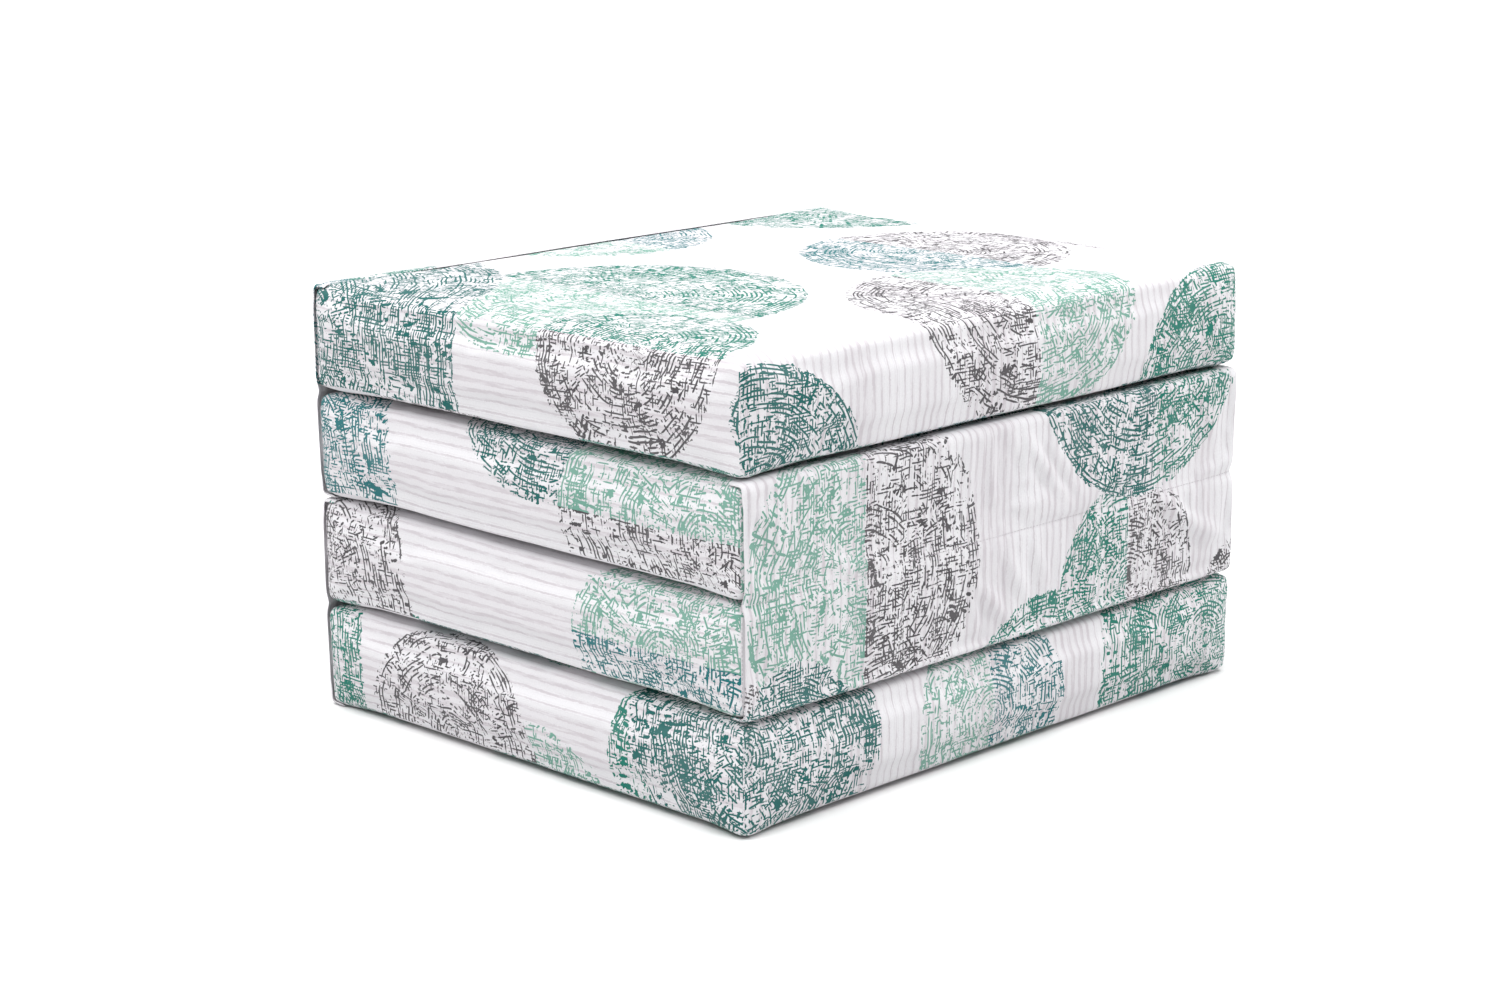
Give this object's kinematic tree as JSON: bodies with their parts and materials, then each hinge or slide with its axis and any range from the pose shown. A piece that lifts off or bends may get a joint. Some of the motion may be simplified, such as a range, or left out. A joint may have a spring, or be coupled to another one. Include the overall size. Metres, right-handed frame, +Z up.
{
  "type": "folding foam mattress",
  "caption": "Folding foam mattress of equal padded sections in printed cotton covers, joined by fabric fold strips so that they stack or lie flat in a row.",
  "frame": {"origin": "bottom centre of the folded stack's bounding box, on the surface that it lies on", "axes": "+X along a section from fold to fold, +Y across the mattress towards the zips, +Z up through the stack"},
  "size_m": [0.5046, 0.6046, 0.36],
  "materials": {
    "printed_cotton": "printed cotton over wadding",
    "foam": "open-cell foam",
    "thread": "sewn cotton seam",
    "zip_tape": "woven tape",
    "zip_coil": "moulded nylon",
    "zip_metal": "nickel plated"
  },
  "bodies": {
    "section_1": {"foam_core_1": "foam", "cover_shell_1": "printed_cotton", "closing_panel_1": "printed_cotton", "corner_seams_1": "thread", "zip_tape_1": "zip_tape", "zip_coil_1": "zip_coil", "zip_stops_1": "zip_metal", "fold_strip_12_lower": "printed_cotton"},
    "section_2": {"foam_core_2": "foam", "cover_shell_2": "printed_cotton", "closing_panel_2": "printed_cotton", "corner_seams_2": "thread", "zip_tape_2": "zip_tape", "zip_coil_2": "zip_coil", "zip_stops_2": "zip_metal", "fold_strip_12_upper": "printed_cotton", "hinge_seam_12": "thread", "fold_strip_23_lower": "printed_cotton"},
    "section_3": {"foam_core_3": "foam", "cover_shell_3": "printed_cotton", "closing_panel_3": "printed_cotton", "corner_seams_3": "thread", "zip_tape_3": "zip_tape", "zip_coil_3": "zip_coil", "zip_stops_3": "zip_metal", "fold_strip_23_upper": "printed_cotton", "hinge_seam_23": "thread", "fold_strip_34_lower": "printed_cotton"},
    "section_4": {"foam_core_4": "foam", "cover_shell_4": "printed_cotton", "closing_panel_4": "printed_cotton", "corner_seams_4": "thread", "zip_tape_4": "zip_tape", "zip_coil_4": "zip_coil", "zip_stops_4": "zip_metal", "fold_strip_34_upper": "printed_cotton", "hinge_seam_34": "thread"},
    "slider_1": {"zip_slider_1": "zip_metal"},
    "puller_1": {"zip_puller_1": "zip_metal"},
    "slider_2": {"zip_slider_2": "zip_metal"},
    "puller_2": {"zip_puller_2": "zip_metal"},
    "slider_3": {"zip_slider_3": "zip_metal"},
    "puller_3": {"zip_puller_3": "zip_metal"},
    "slider_4": {"zip_slider_4": "zip_metal"},
    "puller_4": {"zip_puller_4": "zip_metal"}
  },
  "joints": [
    {"name": "fold_12", "type": "hinge", "parent": "section_1", "child": "section_2", "pos_m": [-0.2515, 0, 0.0898], "axis": [0, -1, 0], "range_deg": [0, 180]},
    {"name": "fold_23", "type": "hinge", "parent": "section_2", "child": "section_3", "pos_m": [0.2515, 0, 0.18], "axis": [0, 1, 0], "range_deg": [0, 180]},
    {"name": "fold_34", "type": "hinge", "parent": "section_3", "child": "section_4", "pos_m": [-0.2515, 0, 0.2702], "axis": [0, -1, 0], "range_deg": [0, 180]},
    {"name": "zip_travel_1", "type": "slide", "parent": "section_1", "child": "slider_1", "axis": [-1, 0, 0], "range_m": [0, 0.43]},
    {"name": "puller_flip_1", "type": "hinge", "parent": "slider_1", "child": "puller_1", "pos_m": [0.215, 0.30133, 0.0447], "axis": [0, 0, -1], "range_deg": [0, 175]},
    {"name": "zip_travel_2", "type": "slide", "parent": "section_2", "child": "slider_2", "axis": [-1, 0, 0], "range_m": [0, 0.43]},
    {"name": "puller_flip_2", "type": "hinge", "parent": "slider_2", "child": "puller_2", "pos_m": [0.215, 0.30133, 0.1349], "axis": [0, 0, -1], "range_deg": [0, 175]},
    {"name": "zip_travel_3", "type": "slide", "parent": "section_3", "child": "slider_3", "axis": [-1, 0, 0], "range_m": [0, 0.43]},
    {"name": "puller_flip_3", "type": "hinge", "parent": "slider_3", "child": "puller_3", "pos_m": [0.215, 0.30133, 0.2251], "axis": [0, 0, -1], "range_deg": [0, 175]},
    {"name": "zip_travel_4", "type": "slide", "parent": "section_4", "child": "slider_4", "axis": [-1, 0, 0], "range_m": [0, 0.43]},
    {"name": "puller_flip_4", "type": "hinge", "parent": "slider_4", "child": "puller_4", "pos_m": [0.215, 0.30133, 0.3153], "axis": [0, 0, -1], "range_deg": [0, 175]}
  ]
}
